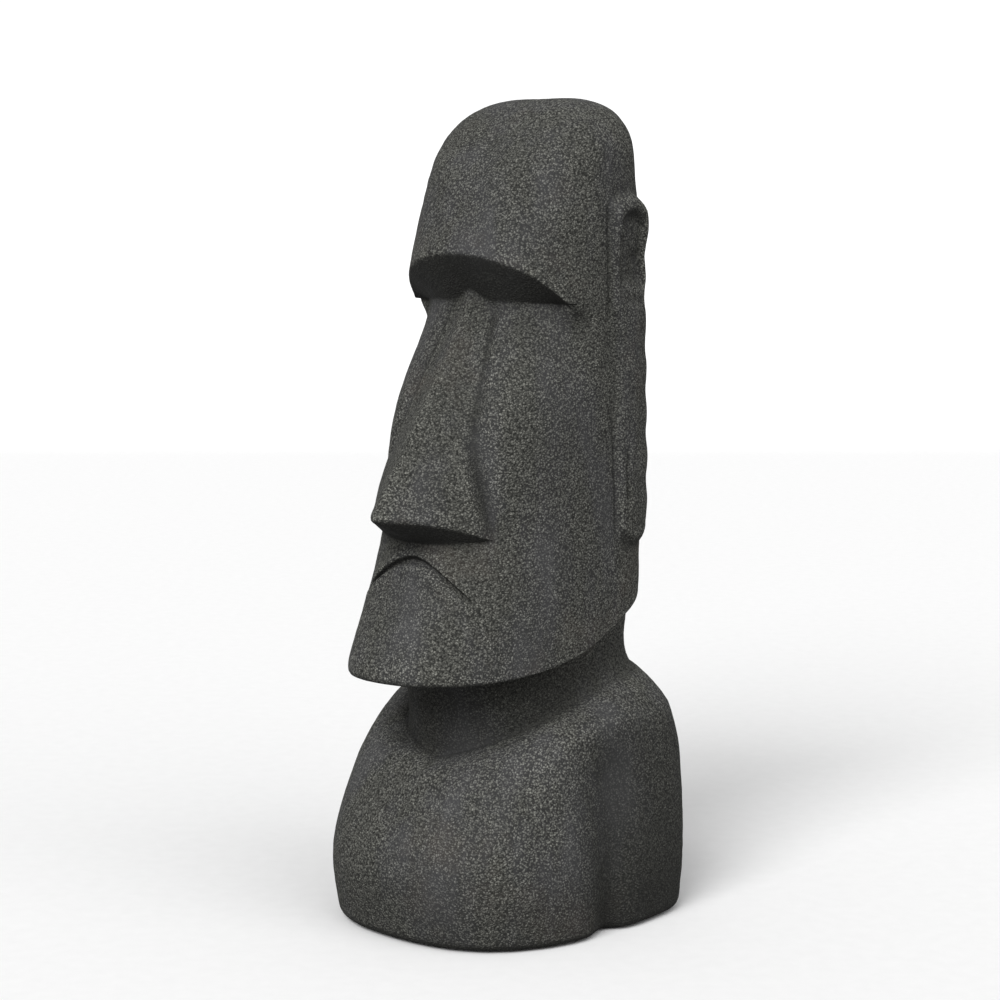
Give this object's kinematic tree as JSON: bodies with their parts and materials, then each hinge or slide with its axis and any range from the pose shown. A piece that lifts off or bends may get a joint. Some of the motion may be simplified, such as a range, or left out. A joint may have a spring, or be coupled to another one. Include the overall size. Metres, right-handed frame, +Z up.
{
  "type": "garden statue",
  "caption": "Tall stone-look head and shoulders figure with a jutting brow, long nose and downturned mouth, cast hollow in two bonded halves over a steel spine.",
  "frame": {"origin": "on the floor, under the middle of the figure's outline", "axes": "-Y is where the face looks, +X is the figure's own left side, +Z is up"},
  "size_m": [0.316, 0.3382, 0.7992],
  "materials": {
    "front_stone": "pitted matte cast stone",
    "back_stone": "pitted matte cast stone",
    "foam": "moulded bead foam",
    "steel": "hot-dip galvanised",
    "bolt_steel": "zinc plated",
    "fibre_board": "fibre-cement board",
    "socket_steel": "stainless",
    "rubber": "matte moulded rubber"
  },
  "bodies": {
    "root": {"front_shell": "front_stone", "back_shell": "back_stone", "seam_dowels": "steel", "head_core": "foam", "torso_core": "foam", "spine_rod_left": "steel", "spine_rod_right": "steel", "spine_rungs": "steel", "spine_plate": "steel", "plate_bolts": "bolt_steel", "plate_nuts": "bolt_steel", "base_board": "fibre_board", "base_cleats": "fibre_board", "base_screws": "bolt_steel", "anchor_sockets": "socket_steel", "foot_pads": "rubber", "foot_screws": "bolt_steel"}
  },
  "joints": []
}
